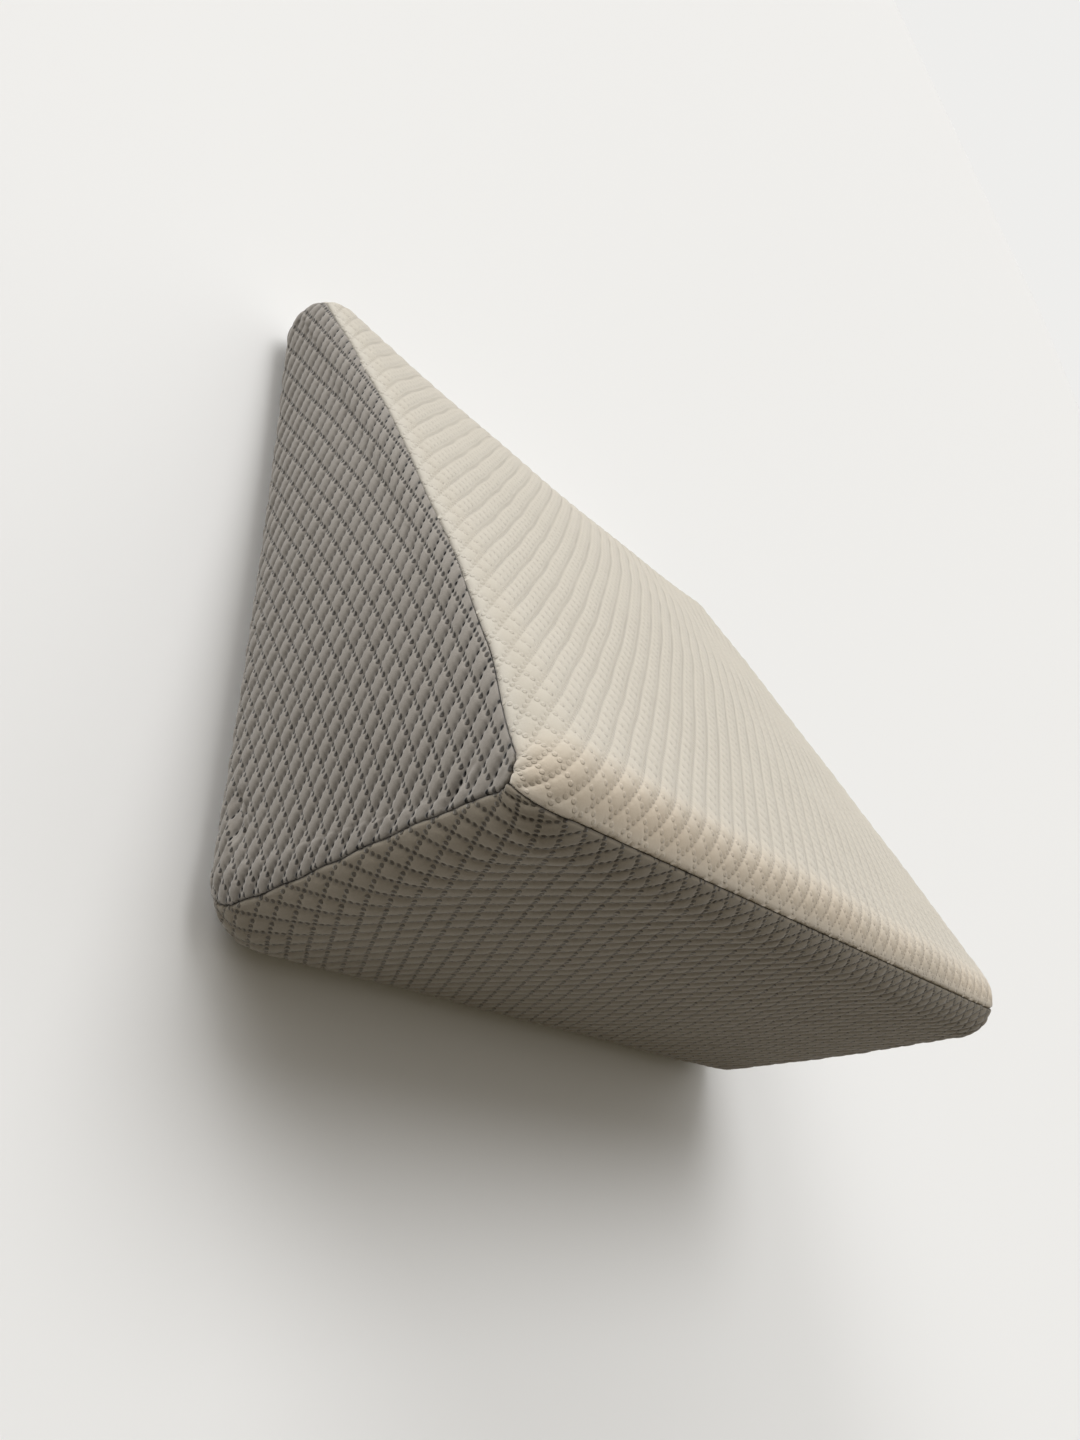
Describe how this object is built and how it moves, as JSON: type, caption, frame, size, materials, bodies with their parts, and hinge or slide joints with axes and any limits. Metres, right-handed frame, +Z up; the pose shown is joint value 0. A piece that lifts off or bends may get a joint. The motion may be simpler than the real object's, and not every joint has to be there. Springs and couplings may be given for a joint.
{
  "type": "wedge pillow",
  "caption": "Filled wedge cushion with a wide sloping top, a thin rounded front edge and a tall back, in a fitted quilted cloth cover, for propping up a back, head or legs.",
  "frame": {"origin": "middle of the footprint, on the surface that the base rests on", "axes": "+X along the width, from end to end; +Y from the thin front edge to the tall back; +Z up from the base"},
  "size_m": [0.6002, 0.5496, 0.285],
  "materials": {
    "grey_cloth": "matt warm-grey stretch knit, quilted in small long diamonds of short stitches, slightly puffed between them",
    "cream_cloth": "matt cream stretch knit with the same small diamond quilting, soft and slightly puffed between the stitches"
  },
  "bodies": {
    "root": {"filled_body": "grey_cloth", "top_panel": "cream_cloth", "back_panel": "grey_cloth", "end_panel_near": "grey_cloth", "end_panel_far": "grey_cloth"}
  },
  "joints": []
}
